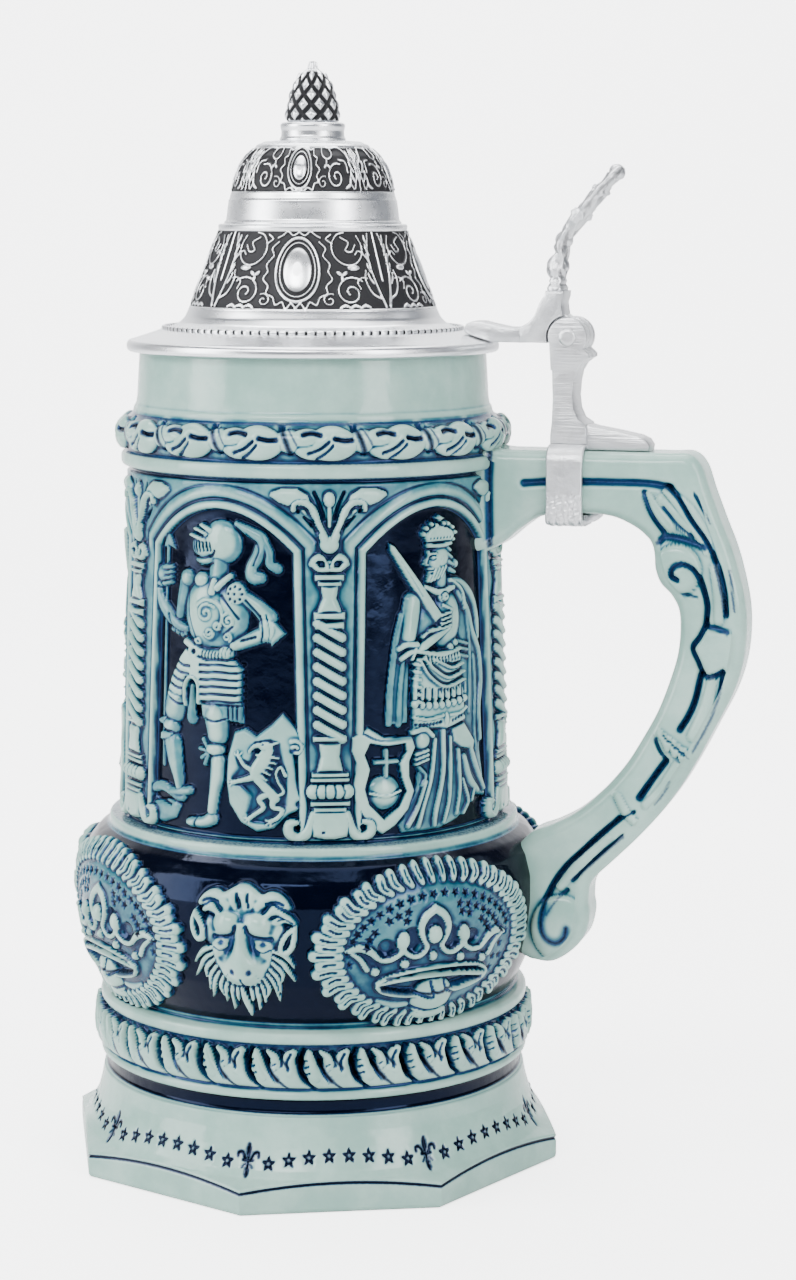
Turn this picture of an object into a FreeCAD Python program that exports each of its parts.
"""Lidded relief beer stein: a stoneware vessel on an octagonal foot, a stoneware ear handle, and a pewter
steeple lid that opens on a five-leaf hinge carried by a strap round the handle.

Frame: +Z up, origin at the centre of the foot's flat underside, handle towards +X. Millimetres.
Every size is a cell of the spreadsheet "sizes"; sketches and primitives are bound to those cells.
"""

import FreeCAD, Part
import os

import Sketcher

DOC = FreeCAD.newDocument("beer_stein")
FULL_TURN = 360
OCTAGON_INRADIUS = 0.92388       # inradius of an octagon whose corners lie on a unit circle
ARC_MIDPOINT = 0.29289           # how far a quarter round's midpoint stands in from its square corner

# Driving dimensions, in millimetres unless the name ends in _deg.
SIZES = {
    # octagonal foot
    "foot_corner_radius": 71.0,      # centre to corner
    "foot_corner_height": 7.0,       # top of the vertical band at a corner
    "foot_face_height": 9.2,         # and in the middle of a face
    "foot_recess_radius": 52.0,
    "foot_recess_depth": 2.5,
    # turned mouldings between foot and belly
    "cove_radius": 58.2,
    "cove_lip_radius": 59.8,
    "cove_bottom": 24.5,
    "cove_top": 29.8,
    "wreath_radius": 62.7,
    "wreath_root_radius": 59.6,
    "wreath_bottom": 32.8,
    "wreath_top": 44.2,
    "fillet_ring_radius": 60.3,
    "fillet_ring_top": 47.6,
    # belly
    "belly_radius": 65.2,
    "belly_root_radius": 57.2,
    "belly_bottom": 49.0,
    "belly_middle": 74.0,
    "belly_top": 94.6,
    "medallion_centre": 71.5,        # height of the medallions' and lion masks' centres
    "medallion_half_width": 27.0,
    "medallion_half_height": 23.0,
    "medallion_relief": 1.0,
    "medallion_angle_deg": 46.0,
    "lion_half_width": 16.5,
    "lion_half_height": 18.0,
    "lion_nose_radius": 72.0,
    "lion_angle_deg": 89.0,
    # drum with its columns
    "ledge_radius": 57.3,
    "ledge_top": 97.2,
    "drum_bottom_radius": 54.2,
    "drum_bottom": 98.4,
    "drum_waist_radius": 51.4,
    "drum_waist": 178.0,
    "drum_top": 194.0,
    "column_radius": 4.8,
    "column_centre": 50.0,
    "column_height": 72.0,
    "column_pitch_deg": 69.0,
    # leaf band, neck and rim
    "bead_radius": 53.2,
    "bead_top": 198.6,
    "leaf_band_radius": 55.3,
    "leaf_band_root_radius": 51.8,
    "leaf_band_top": 208.0,
    "neck_bottom_radius": 49.4,
    "neck_bottom": 209.8,
    "rim_radius": 48.0,
    "rim_height": 227.0,
    # drinking cavity
    "cavity_mouth_radius": 43.4,
    "cavity_neck_radius": 44.4,
    "cavity_drum_radius": 46.5,
    "cavity_belly_radius": 50.0,
    "cavity_base_radius": 45.6,
    "cavity_floor": 13.0,
    "cavity_corner": 6.0,
    # handle
    "handle_width": 18.0,
    "handle_edge": 3.5,              # rounding of its long edges
    "arm_top": 200.4,
    "arm_bottom": 183.0,
    "arm_end": 105.0,
    "handle_reach": 122.0,           # farthest from the vessel's axis
    # lid
    "lid_radius": 51.3,
    "lid_lip": 226.2,                # underside of the lip that drops over the rim
    "lid_lip_inner_radius": 49.7,
    "lid_seat": 227.15,              # underside that rests over the rim
    "lid_seat_inner_radius": 42.5,
    "lid_edge_top": 229.1,
    "lid_wall": 1.6,
    "bead_ring_radius": 41.2,
    "bead_ring_height": 232.5,
    "bead_wire_radius": 0.75,
    "cone_bottom_radius": 33.9,
    "cone_bottom": 238.6,
    "cone_top_radius": 25.2,
    "cone_top": 260.9,
    "dome_bottom_radius": 24.0,
    "dome_shoulder_radius": 22.5,
    "dome_shoulder": 268.8,
    "dome_lip_radius": 15.2,
    "dome_top_radius": 13.4,
    "dome_top": 283.3,
    "collar_radius": 9.6,
    "collar_waist_radius": 8.6,
    "collar_top": 288.4,
    "finial_radius": 7.5,
    "finial_top": 305.0,
    "stud_radius": 2.0,
    "stud_bore_radius": 2.05,
    "stud_length": 8.0,
    # hinge: three leaves on the post, two on the lid's lever
    "pin_across": 73.0,              # pin axis, distance from the vessel's axis
    "pin_height": 231.0,
    "pin_radius": 2.0,
    "pin_length": 13.6,
    "lever_bore_radius": 2.05,
    "leaf_thickness": 2.4,
    "leaf_gap": 0.15,
    "post_leaf_radius": 5.3,
    "lever_leaf_radius": 5.1,
    "seat_radius": 5.6,              # hollow that the opposite leaves turn in
    "tang_end": 43.5,
    "tang_width": 9.0,
    "lever_top": 243.3,
    "spur_end": 95.5,
    # strap round the handle's arm
    "strap_left": 68.4,
    "strap_right": 78.3,
    "strap_gap": 0.05,
    "strap_thickness": 1.8,
    "closure_half_width": 5.0,
    "closure_thickness": 3.4,
    # thumblift
    "thumb_stem_width": 10.0,
    "thumb_pad_width": 16.0,
    "thumb_pad_length": 27.0,
    "thumb_pad_thickness": 4.6,
    "thumb_pad_tilt_deg": 47.0,
}


class Size:
    """A length that carries both its value and the spreadsheet expression that gives it."""

    def __init__(self, value, text):
        self.value = value
        self.text = text

    def __add__(self, other):
        other = as_size(other)
        return Size(self.value + other.value, f"({self.text} + {other.text})")

    def __sub__(self, other):
        other = as_size(other)
        return Size(self.value - other.value, f"({self.text} - {other.text})")

    def __mul__(self, other):
        other = as_size(other)
        return Size(self.value * other.value, f"({self.text} * {other.text})")

    def __neg__(self):
        return Size(-self.value, f"(0 - {self.text})")


def as_size(value):
    return value if isinstance(value, Size) else Size(float(value), repr(float(value)))


class Sheet:
    """s.rim_radius is the spreadsheet cell of that name, as a Size."""

    def __getattr__(self, name):
        return Size(SIZES[name], f"sizes.{name}")


s = Sheet()


def make_spreadsheet():
    sheet = DOC.addObject("Spreadsheet::Sheet", "sizes")
    for row, (name, value) in enumerate(SIZES.items(), start=1):
        sheet.set(f"A{row}", name)
        sheet.set(f"B{row}", str(value))
        sheet.setAlias(f"B{row}", name)
    DOC.recompute()


def bind(obj, **properties):
    """Binds properties of obj to expressions, such as Radius=s.rim_radius."""
    for name, size in properties.items():
        obj.setExpression(name, as_size(size).text)
    return obj


def move_to(obj, across=None, aside=None, up=None):
    """Binds the placement of obj; a direction left out stays at zero."""
    for axis, size in (("x", across), ("y", aside), ("z", up)):
        if size is not None:
            obj.setExpression(f"Placement.Base.{axis}", as_size(size).text)
    return obj


# --- sketches and the solids made from them ---------------------------------------------------------------


def origin_plane(body, role):
    return next(f for f in body.Origin.OriginFeatures if f.Role == role)


def fix_point(sketch, geometry, end, point):
    """Fixes one end of a sketch line at a point whose two coordinates are bound to expressions."""
    for kind, axis, size in (("DistanceX", -2, point[0]), ("DistanceY", -1, point[1])):
        size = as_size(size)
        if abs(size.value) < 1e-9:
            sketch.addConstraint(Sketcher.Constraint("PointOnObject", geometry, end, axis))
            continue
        if size.value > 0:
            rule = Sketcher.Constraint(kind, -1, 1, geometry, end, size.value)
        else:
            size = -size
            rule = Sketcher.Constraint(kind, geometry, end, -1, 1, size.value)
        index = sketch.addConstraint(rule)
        sketch.setExpression(f"Constraints[{index}]", size.text)


def vector(point):
    return FreeCAD.Vector(as_size(point[0]).value, as_size(point[1]).value, 0)


def line(end):
    return (None, end)


def arc(through, end):
    return (through, end)


def closed_sketch(body, name, role, start, path):
    """A closed outline of lines and arcs; the last step of path comes back to start."""
    sketch = body.newObject("Sketcher::SketchObject", name)
    sketch.AttachmentSupport = [(origin_plane(body, role), "")]
    sketch.MapMode = "FlatFace"
    here = start
    pieces = []
    for through, end in path:
        if through is None:
            index = sketch.addGeometry(Part.LineSegment(vector(here), vector(end)))
            pieces.append((index, 1, 2))
        else:
            chord = vector(end) - vector(here)
            counterclockwise = (vector(through) - vector(here)).cross(chord).z > 0
            first, last = (here, end) if counterclockwise else (end, here)
            index = sketch.addGeometry(Part.Arc(vector(first), vector(through), vector(last)))
            pieces.append((index, 1, 2) if counterclockwise else (index, 2, 1))
            mark = sketch.addGeometry(Part.Point(vector(through)), True)
            fix_point(sketch, mark, 1, through)
            sketch.addConstraint(Sketcher.Constraint("PointOnObject", mark, 1, index))
        here = end
    for this, following in zip(pieces, pieces[1:] + pieces[:1]):
        meeting = Sketcher.Constraint("Coincident", this[0], this[2], following[0], following[1])
        sketch.addConstraint(meeting)
    corners = [start] + [end for _, end in path[:-1]]
    for (index, first, _), corner in zip(pieces, corners):
        fix_point(sketch, index, first, corner)
    return sketch


def turned(name, start, *path):
    """A solid of revolution about Z from a half profile of (radius, height) points."""
    body = DOC.addObject("PartDesign::Body", name)
    sketch = closed_sketch(body, name + "_profile", "XZ_Plane", start, path)
    turn = body.newObject("PartDesign::Revolution", name + "_turn")
    turn.Profile = sketch
    turn.ReferenceAxis = (sketch, ["V_Axis"])
    turn.Angle = FULL_TURN
    return body


def slab(name, width, plane, start, *path):
    """An outline on one of the origin planes, padded symmetrically to a width."""
    body = DOC.addObject("PartDesign::Body", name)
    sketch = closed_sketch(body, name + "_outline", plane, start, path)
    pad = body.newObject("PartDesign::Pad", name + "_pad")
    pad.Profile = sketch
    pad.SideType = "Symmetric"
    bind(pad, Length=width)
    return body


def fused(name, *shapes):
    result = DOC.addObject("Part::MultiFuse", name)
    result.Shapes = list(shapes)
    return result


def common(name, first, second):
    result = DOC.addObject("Part::MultiCommon", name)
    result.Shapes = [first, second]
    return result


def cut(name, base, tool):
    result = DOC.addObject("Part::Cut", name)
    result.Base = base
    result.Tool = tool
    return result


def node(obj, label):
    """Marks obj as the finished sub-part called label."""
    obj.Label = label
    return obj


# --- stoneware vessel -------------------------------------------------------------------------------------


def turned_outside():
    """The turned outside of the vessel, from the top of the foot to the rim, as a solid plug."""
    wreath_middle = (s.wreath_bottom + s.wreath_top) * 0.5
    return turned(
        "turned_outside",
        (0, s.cove_bottom - 5),
        line((s.cove_lip_radius, s.cove_bottom - 5)),
        line((s.cove_lip_radius, s.cove_bottom)),
        arc((s.cove_radius, s.cove_bottom + 2.6), (s.cove_lip_radius, s.cove_top)),
        line((s.fillet_ring_radius, s.cove_top)),
        line((s.fillet_ring_radius, s.wreath_bottom - 1)),
        line((s.wreath_root_radius, s.wreath_bottom)),
        arc((s.wreath_radius, wreath_middle), (s.wreath_root_radius, s.wreath_top)),
        line((s.fillet_ring_radius, s.wreath_top + 0.6)),
        line((s.fillet_ring_radius, s.fillet_ring_top)),
        line((s.belly_root_radius, s.belly_bottom)),
        arc((s.belly_radius, s.belly_middle), (s.belly_root_radius, s.belly_top)),
        line((s.ledge_radius, s.ledge_top)),
        line((s.drum_bottom_radius, s.drum_bottom)),
        line((s.drum_waist_radius, s.drum_waist)),
        line((s.drum_waist_radius, s.drum_top)),
        line((s.bead_radius, s.drum_top + 1.2)),
        line((s.bead_radius, s.bead_top)),
        line((s.leaf_band_root_radius, s.bead_top + 0.8)),
        arc((s.leaf_band_radius, s.bead_top + 5), (s.leaf_band_root_radius, s.leaf_band_top)),
        line((s.neck_bottom_radius, s.neck_bottom)),
        line((s.rim_radius, s.rim_height - 5)),
        line((s.rim_radius, s.rim_height)),
        line((0, s.rim_height)),
        line((0, s.cove_bottom - 5)),
    )


def octagonal_foot():
    """A turned flare trimmed by an octagonal prism, so its vertical band rises in the middle of each face."""
    face_radius = s.foot_corner_radius * OCTAGON_INRADIUS
    flare = turned(
        "foot_flare",
        (0, 0),
        line((s.foot_corner_radius, 0)),
        line((s.foot_corner_radius, s.foot_corner_height)),
        line((face_radius, s.foot_face_height)),
        arc((face_radius - 4, s.foot_face_height + 5.3), (s.cove_lip_radius, s.cove_bottom)),
        line((0, s.cove_bottom)),
        line((0, 0)),
    )
    prism = DOC.addObject("Part::Prism", "foot_prism")
    prism.Polygon = 8
    bind(prism, Circumradius=s.foot_corner_radius, Height=s.cove_bottom + 1)
    return common("foot_trimmed", flare, prism)


def medallions():
    """Four oval grounds standing a little proud of the belly; each ellipsoid crosses the axis and makes two."""
    raised_belly = turned(
        "raised_belly",
        (0, s.belly_bottom),
        line((s.belly_root_radius + s.medallion_relief, s.belly_bottom)),
        arc((s.belly_radius + s.medallion_relief, s.belly_middle),
            (s.belly_root_radius + s.medallion_relief, s.belly_top)),
        line((0, s.belly_top)),
        line((0, s.belly_bottom)),
    )
    ovals = []
    for side, angle in (("left", s.medallion_angle_deg), ("right", -s.medallion_angle_deg)):
        oval = DOC.addObject("Part::Ellipsoid", f"medallion_oval_{side}")
        reach = s.belly_radius * 4
        bind(oval, Radius1=s.medallion_half_height, Radius2=reach, Radius3=s.medallion_half_width)
        oval.setExpression("Placement.Rotation.Angle", angle.text)
        ovals.append(move_to(oval, up=s.medallion_centre))
    return common("medallion_grounds", raised_belly, fused("medallion_ovals", *ovals))


def stand_at(obj, radius, angle, height):
    """Stands obj at a bearing round the vessel's axis, turned to face outwards."""
    obj.setExpression("Placement.Rotation.Angle", angle.text)
    obj.setExpression("Placement.Base.x", f"{radius.text} * cos({angle.text} * 1deg)")
    obj.setExpression("Placement.Base.y", f"{radius.text} * sin({angle.text} * 1deg)")
    obj.setExpression("Placement.Base.z", as_size(height).text)
    return obj


def lion_masks():
    """The rounded masses of the three lion masks: left, right and opposite the handle."""
    masks = []
    middle = s.belly_radius - 2
    bearings = {"left": s.lion_angle_deg, "right": -s.lion_angle_deg, "front": s.lion_angle_deg * 0 + 180}
    for side, angle in bearings.items():
        mask = DOC.addObject("Part::Ellipsoid", f"lion_mask_{side}")
        bind(mask, Radius1=s.lion_half_height, Radius2=s.lion_nose_radius - middle,
             Radius3=s.lion_half_width)
        masks.append(stand_at(mask, middle, angle, s.medallion_centre))
    return masks


def drum_columns():
    columns = []
    for steps in (-2, -1, 0, 1, 2):
        column = DOC.addObject("Part::Cylinder", f"column_{steps + 2}")
        bind(column, Radius=s.column_radius, Height=s.column_height)
        columns.append(stand_at(column, s.column_centre, s.column_pitch_deg * steps, s.drum_bottom))
    return columns


def drinking_cavity():
    rounding = s.cavity_corner * ARC_MIDPOINT
    return turned(
        "drinking_cavity",
        (0, s.cavity_floor),
        line((s.cavity_base_radius - s.cavity_corner, s.cavity_floor)),
        arc((s.cavity_base_radius - rounding, s.cavity_floor + rounding),
            (s.cavity_base_radius, s.cavity_floor + s.cavity_corner)),
        line((s.cavity_base_radius, s.belly_bottom)),
        arc((s.cavity_belly_radius, s.belly_middle), (s.cavity_drum_radius, s.drum_bottom)),
        line((s.cavity_neck_radius, s.drum_waist)),
        line((s.cavity_mouth_radius, s.rim_height)),
        line((s.cavity_mouth_radius, s.rim_height + 1)),
        line((0, s.rim_height + 1)),
        line((0, s.cavity_floor)),
    )


def stoneware_body():
    solid = fused("vessel_solid", turned_outside(), octagonal_foot(), medallions(),
                  *lion_masks(), *drum_columns())
    hollowed = cut("vessel_hollowed", solid, drinking_cavity())
    recess = DOC.addObject("Part::Cylinder", "foot_recess")
    bind(recess, Radius=s.foot_recess_radius, Height=s.foot_recess_depth)
    return node(cut("vessel", hollowed, recess), "stoneware_body")


# --- stoneware handle -------------------------------------------------------------------------------------


def outer_long_edges(shape):
    """Names of the edges along the handle's outer line, on both sides, beyond where it joins the vessel."""
    half_width = SIZES["handle_width"] / 2
    opening = FreeCAD.Vector(SIZES["pin_across"], 0, (SIZES["arm_bottom"] + SIZES["drum_bottom"]) / 2)
    names = []
    for number, edge in enumerate(shape.Edges, start=1):
        box = edge.BoundBox
        on_a_side = box.YLength < 1e-6 and abs(abs(box.YMin) - half_width) < 1e-6
        if not on_a_side or box.XMax < SIZES["rim_radius"] + 25:
            continue
        middle = edge.valueAt((edge.FirstParameter + edge.LastParameter) / 2)
        middle.y = 0
        beyond = middle + (middle - opening).normalize()
        if not shape.isInside(beyond, 1e-3, True):
            names.append(f"Edge{number}")
    return names


def handle(vessel):
    """The ear handle: a level arm, a bowed grip with a volute at its inner shoulder, a scroll at its foot."""
    arm_root = s.rim_radius
    foot_root = s.rim_radius + 7.6
    blank = slab(
        "handle_blank",
        s.handle_width,
        "XZ_Plane",
        (arm_root, s.arm_top),
        line((s.arm_end, s.arm_top)),
        arc((s.arm_end + 4, s.arm_top - 1.9), (s.arm_end + 5.4, s.arm_top - 6)),
        arc((s.handle_reach - 3.6, s.arm_top - 25.9), (s.handle_reach, s.arm_top - 45.4)),
        arc((s.handle_reach - 3.4, s.arm_top - 66.9), (s.handle_reach - 14.5, s.arm_top - 88.4)),
        line((s.handle_reach - 40, s.arm_top - 117)),
        arc((s.handle_reach - 42.4, s.arm_top - 134.4), (s.handle_reach - 52, s.arm_top - 143)),
        line((foot_root, s.arm_top - 140.4)),
        line((foot_root, s.arm_top - 107.4)),
        line((foot_root + 7.9, s.arm_top - 107.4)),
        arc((s.handle_reach - 37.6, s.arm_top - 92.3), (s.handle_reach - 23, s.arm_top - 69.9)),
        arc((s.handle_reach - 17.8, s.arm_top - 54), (s.handle_reach - 18, s.arm_top - 41)),
        arc((s.handle_reach - 24.6, s.arm_top - 32), (s.handle_reach - 24.6, s.arm_top - 23.2)),
        arc((s.handle_reach - 32, s.arm_bottom - 1), (s.handle_reach - 42, s.arm_bottom)),
        line((s.strap_left - 1.4, s.arm_bottom)),
        arc((s.strap_left - 9.4, s.arm_bottom - 4.4), (arm_root + 4, s.arm_bottom - 10.5)),
        line((arm_root, s.arm_bottom - 10.5)),
        line((arm_root, s.arm_top)),
    )
    DOC.recompute()
    pad = blank.Tip
    rounding = blank.newObject("PartDesign::Fillet", "handle_rounding")
    rounding.Base = (pad, outer_long_edges(pad.Shape))
    bind(rounding, Radius=s.handle_edge)
    return node(cut("handle_fitted", blank, vessel), "handle")


# --- pewter lid -------------------------------------------------------------------------------------------


def lid_bead_ring():
    """The wire that lies in a groove round the lid's flange."""
    ring = DOC.addObject("Part::Torus", "bead_wire")
    bind(ring, Radius1=s.bead_ring_radius, Radius2=s.bead_wire_radius)
    return node(move_to(ring, up=s.bead_ring_height + 0.2), "lid_bead_ring")


def lid_flange(ring):
    """The lid's broad rim: a lip round the stoneware, a seat over it, and a concave rise to the cone."""
    wall = s.lid_wall
    rise = s.cone_bottom - 3.2
    blank = turned(
        "flange_blank",
        (s.lid_radius, s.lid_lip),
        line((s.lid_radius, s.lid_edge_top)),
        line((s.lid_radius - 4.7, s.lid_edge_top + 1.7)),
        line((s.bead_ring_radius, s.bead_ring_height)),
        arc((s.cone_bottom_radius + 2, rise), (s.cone_bottom_radius, s.cone_bottom)),
        line((s.cone_bottom_radius - wall, s.cone_bottom)),
        arc((s.cone_bottom_radius + 2 - wall, rise - wall),
            (s.bead_ring_radius - wall, s.bead_ring_height - wall)),
        line((s.lid_seat_inner_radius, s.bead_ring_height - wall)),
        line((s.lid_seat_inner_radius, s.lid_seat)),
        line((s.lid_lip_inner_radius, s.lid_seat)),
        line((s.lid_lip_inner_radius, s.lid_lip)),
        line((s.lid_radius, s.lid_lip)),
    )
    return node(cut("flange_grooved", blank, ring), "lid_flange")


def lid_lower_cone():
    """The tapered frieze band, open below, with a plain lip and a shoulder for the dome on top."""
    wall = s.lid_wall
    return node(turned(
        "cone_shell",
        (s.cone_bottom_radius, s.cone_bottom),
        line((s.cone_top_radius + 0.5, s.cone_top - 2.1)),
        line((s.cone_top_radius, s.cone_top - 1.6)),
        line((s.cone_top_radius, s.cone_top)),
        line((s.dome_bottom_radius - wall, s.cone_top)),
        line((s.dome_bottom_radius - wall, s.cone_top - wall)),
        line((s.cone_bottom_radius - wall, s.cone_bottom)),
        line((s.cone_bottom_radius, s.cone_bottom)),
    ), "lid_lower_cone")


def lid_upper_dome():
    """The plain mid bands and the domed upper frieze, closed on top round the finial's stud."""
    wall = s.lid_wall
    return node(turned(
        "dome_shell",
        (s.dome_bottom_radius, s.cone_top),
        line((s.dome_shoulder_radius, s.dome_shoulder)),
        arc((s.dome_shoulder_radius - 2.2, s.dome_shoulder + 8.8), (s.dome_lip_radius, s.dome_top - 1.8)),
        line((s.dome_top_radius, s.dome_top)),
        line((s.stud_bore_radius, s.dome_top)),
        line((s.stud_bore_radius, s.dome_top - wall)),
        line((s.dome_top_radius, s.dome_top - wall - 1.8)),
        arc((s.dome_shoulder_radius - 2.2 - wall, s.dome_shoulder + 8.4),
            (s.dome_shoulder_radius - wall, s.dome_shoulder)),
        line((s.dome_bottom_radius - wall, s.cone_top)),
        line((s.dome_bottom_radius, s.cone_top)),
    ), "lid_upper_dome")


def finial_collar():
    """The waisted ring that the finial is screwed down on."""
    return node(turned(
        "collar_ring",
        (s.collar_radius, s.dome_top),
        line((s.collar_radius, s.dome_top + 1.2)),
        arc((s.collar_waist_radius, s.dome_top + 2.8), (s.collar_radius - 0.3, s.collar_top - 0.7)),
        line((s.collar_radius - 1, s.collar_top)),
        line((s.stud_bore_radius, s.collar_top)),
        line((s.stud_bore_radius, s.dome_top)),
        line((s.collar_radius, s.dome_top)),
    ), "finial_collar")


def finial():
    """The pine cone with its knob, on a stud that passes down through the collar and the dome."""
    return node(turned(
        "pine_cone",
        (0, s.collar_top - s.stud_length),
        line((s.stud_radius, s.collar_top - s.stud_length)),
        line((s.stud_radius, s.collar_top)),
        line((s.finial_radius - 0.8, s.collar_top)),
        arc((s.finial_radius - 0.8, s.collar_top + 4), (s.finial_radius - 5, s.collar_top + 13.2)),
        line((s.stud_radius - 0.7, s.collar_top + 14.4)),
        line((s.stud_radius - 0.4, s.finial_top - 1.2)),
        line((s.stud_radius - 1.1, s.finial_top - 0.3)),
        line((0, s.finial_top)),
        line((0, s.collar_top - s.stud_length)),
    ), "finial")


# --- hinge ------------------------------------------------------------------------------------------------


def rod_across(name, radius, width, middle=0):
    """A cylinder on the hinge's axis, centred on y = middle."""
    rod = DOC.addObject("Part::Cylinder", name)
    bind(rod, Radius=radius, Height=width)
    rod.Placement = FreeCAD.Placement(FreeCAD.Vector(), FreeCAD.Rotation(FreeCAD.Vector(1, 0, 0), -90))
    return move_to(rod, s.pin_across, as_size(middle) - width * 0.5, s.pin_height)


def rods_for_leaves(name, radius, positions):
    """One rod per leaf position, each as wide as a leaf and the gaps beside it."""
    pitch = s.leaf_thickness + s.leaf_gap
    width = s.leaf_thickness + s.leaf_gap * 2
    rods = [rod_across(f"{name}_{place + 2}", radius, width, pitch * place) for place in positions]
    return rods


def hinge_width():
    return s.leaf_thickness * 5 + s.leaf_gap * 4


def hinge_pin():
    return node(rod_across("pin_rod", s.pin_radius, s.pin_length), "hinge_pin")


def hinge_post():
    """Stands on the strap, carries three leaves, and ends outwards in a spur along the handle's arm."""
    strap_top = s.arm_top + s.strap_gap + s.strap_thickness
    x = s.pin_across
    z = s.pin_height
    boss = s.post_leaf_radius
    blank = slab(
        "post_blank",
        hinge_width(),
        "XZ_Plane",
        (s.strap_left, strap_top),
        line((x - 4.1, z - 18)),
        line((x - 4.6, z - 7)),
        line((x - boss * 0.9397, z - boss * 0.342)),
        arc((x - boss * 0.5, z + boss * 0.866), (x + boss * 0.8192, z - boss * 0.5736)),
        line((x + 6.6, z - 4.7)),
        arc((x + 8.4, z - 5.6), (x + 6.6, z - 6.5)),
        arc((x + 2.6, z - 12.5), (x + 1.9, z - 18)),
        arc((x + 3.4, z - 22.9), (x + 7.2, s.arm_top + 6)),
        line((s.spur_end - 2.5, s.arm_top + 3.4)),
        line((s.spur_end, s.arm_top + 1.6)),
        line((s.spur_end, s.arm_top)),
        line((s.strap_right, s.arm_top)),
        line((s.strap_right, strap_top)),
        line((s.strap_left, strap_top)),
    )
    slots = fused("post_slots", *rods_for_leaves("post_slot", s.seat_radius, (-1, 1)),
                  rod_across("post_bore", s.pin_radius, s.pin_length + 2))
    return node(cut("post_slotted", blank, slots), "hinge_post")


def hinge_lever():
    """The lid's side of the hinge: a tang along the flange, a block over the pin, and two leaves."""
    x = s.pin_across
    z = s.pin_height
    leaf = s.lever_leaf_radius
    block = slab(
        "lever_blank",
        hinge_width(),
        "XZ_Plane",
        (x - 13.5, z - 1.8),
        line((x - leaf * 0.9397, z - leaf * 0.342)),
        arc((x + leaf * 0.7071, z - leaf * 0.7071), (x + leaf * 0.2079, z + leaf * 0.9781)),
        line((x + 3, s.lever_top - 3.5)),
        line((x + 3, s.lever_top)),
        line((x - 7.4, s.lever_top)),
        line((x - 7.4, s.lever_top - 3)),
        arc((x - 8.8, z + 4.6), (x - 13.5, z + 2.2)),
        line((x - 13.5, z - 1.8)),
    )
    flange_edge = s.lid_edge_top + 0.05
    tang = slab(
        "tang_blank",
        s.tang_width,
        "XZ_Plane",
        (s.tang_end, flange_edge + 2.75),
        line((s.lid_radius - 4.7, flange_edge + 1.7)),
        line((s.lid_radius, flange_edge)),
        line((x - 12.5, z - 1.8)),
        line((x - 12.5, z + 2.2)),
        line((s.tang_end + 3, z + 2.4)),
        line((s.tang_end, z + 1.6)),
        line((s.tang_end, flange_edge + 2.75)),
    )
    slots = fused("lever_slots", *rods_for_leaves("lever_slot", s.seat_radius, (-2, 0, 2)),
                  rod_across("lever_bore", s.lever_bore_radius, s.pin_length + 2))
    return node(cut("lever_slotted", fused("lever_solid", block, tang), slots), "hinge_lever")


def thumblift():
    """A stem on the lever, bending outwards to the oval pad that the thumb presses."""
    x = s.pin_across
    z = s.lever_top
    stem = slab(
        "thumb_stem",
        s.thumb_stem_width,
        "XZ_Plane",
        (x - 6, z),
        line((x + 2.6, z)),
        arc((x + 0.9, z + 7.5), (x + 2.6, z + 14)),
        line((x + 6, z + 19)),
        line((x + 2.5, z + 22)),
        line((x - 4.6, z + 15.5)),
        arc((x - 4.6, z + 7.5), (x - 6, z)),
    )
    pad = DOC.addObject("Part::Ellipsoid", "thumb_pad")
    bind(pad, Radius1=s.thumb_pad_thickness * 0.5, Radius2=s.thumb_pad_length * 0.5,
         Radius3=s.thumb_pad_width * 0.5)
    pad.Placement = FreeCAD.Placement(FreeCAD.Vector(), FreeCAD.Rotation(FreeCAD.Vector(0, -1, 0), 30))
    pad.setExpression("Placement.Rotation.Angle", s.thumb_pad_tilt_deg.text)
    move_to(pad, x + 6.2, up=z + 24.6)
    return node(fused("thumblift_solid", stem, pad), "thumblift")


# --- strap round the handle's arm -------------------------------------------------------------------------


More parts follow.
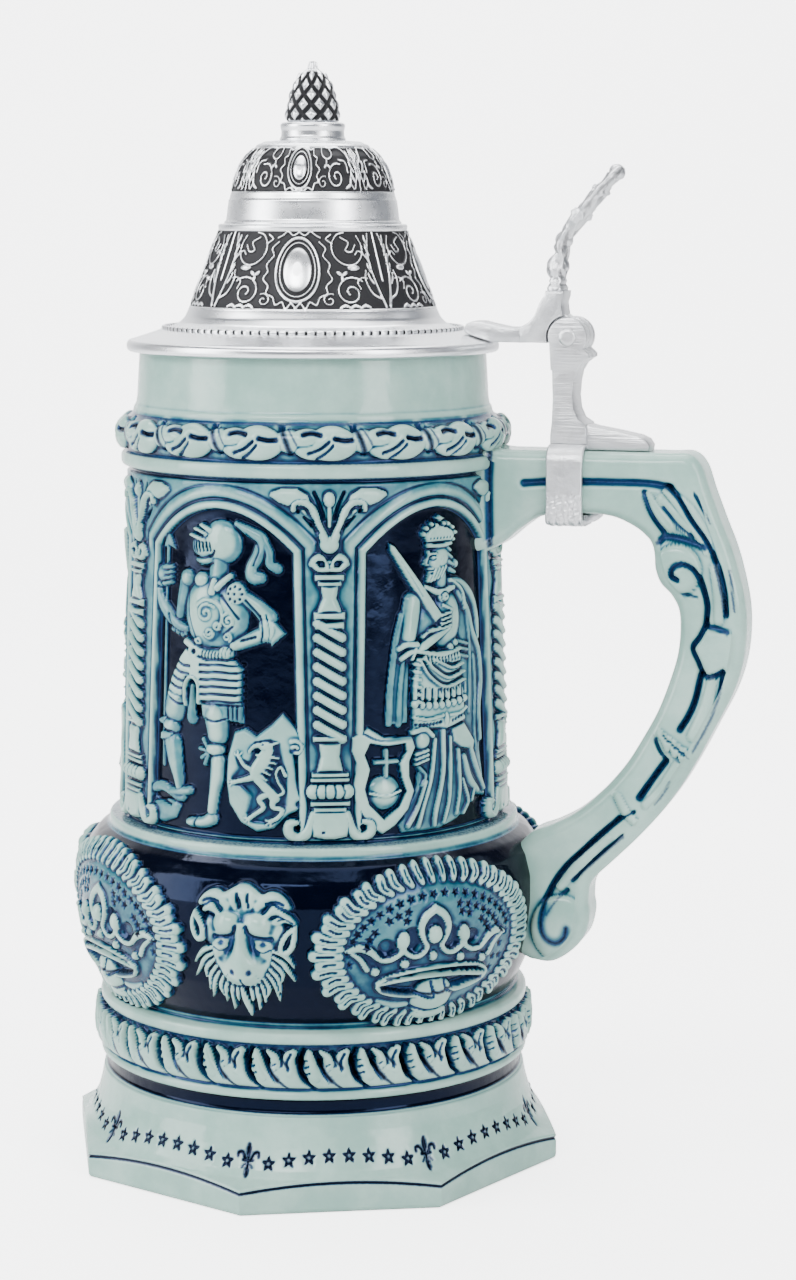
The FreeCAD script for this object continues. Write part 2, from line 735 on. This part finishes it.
def rounded_block(name, growth):
    """A block the length of the strap round the arm, standing off it on every side by growth."""
    half = s.handle_width * 0.5 + growth
    top = s.arm_top + growth
    bottom = s.arm_bottom - growth
    corner = s.handle_edge + growth
    inset = corner * ARC_MIDPOINT
    block = slab(
        name,
        s.strap_right - s.strap_left,
        "YZ_Plane",
        (-half + corner, top),
        line((half - corner, top)),
        arc((half - inset, top - inset), (half, top - corner)),
        line((half, bottom)),
        line((-half, bottom)),
        line((-half, top - corner)),
        arc((-half + inset, top - inset), (-half + corner, top)),
    )
    return move_to(block, across=(s.strap_left + s.strap_right) * 0.5)


def strap_parts():
    """The band that goes round the arm, open underneath, and the cast pad that closes it there."""
    ring = cut("strap_ring", rounded_block("strap_outside", s.strap_gap + s.strap_thickness),
               rounded_block("strap_inside", s.strap_gap))
    pad = DOC.addObject("Part::Box", "closure_pad")
    bind(pad, Length=s.strap_right - s.strap_left, Width=s.closure_half_width * 2,
         Height=s.closure_thickness)
    move_to(pad, s.strap_left, -s.closure_half_width, s.arm_bottom - s.strap_gap - s.closure_thickness)
    return [node(cut("strap_band", ring, pad), "handle_strap"), node(pad, "strap_closure")]


# --- build, check and write -------------------------------------------------------------------------------


def build():
    make_spreadsheet()
    vessel = stoneware_body()
    ring = lid_bead_ring()
    return [
        vessel,
        handle(vessel),
        *strap_parts(),
        hinge_post(),
        hinge_pin(),
        lid_flange(ring),
        ring,
        lid_lower_cone(),
        lid_upper_dome(),
        finial_collar(),
        finial(),
        hinge_lever(),
        thumblift(),
    ]


def check_document():
    for obj in DOC.Objects:
        if "Invalid" in obj.State or "Error" in obj.State:
            raise RuntimeError(f"{obj.Name} did not recompute: {obj.State}")


def write(parts):
    os.makedirs("parts", exist_ok=True)
    for part in parts:
        shape = part.Shape
        if shape.isNull() or not shape.isValid():
            raise RuntimeError(f"{part.Label} has no valid shape")
        if len(shape.Solids) != 1:
            raise RuntimeError(f"{part.Label} is {len(shape.Solids)} solids")
        print(f"{part.Label:16s} {shape.Volume / 1000:9.2f} cm3")
        shape.exportStep(f"parts/{part.Label}.step")


finished = build()
DOC.recompute()
check_document()
write(finished)
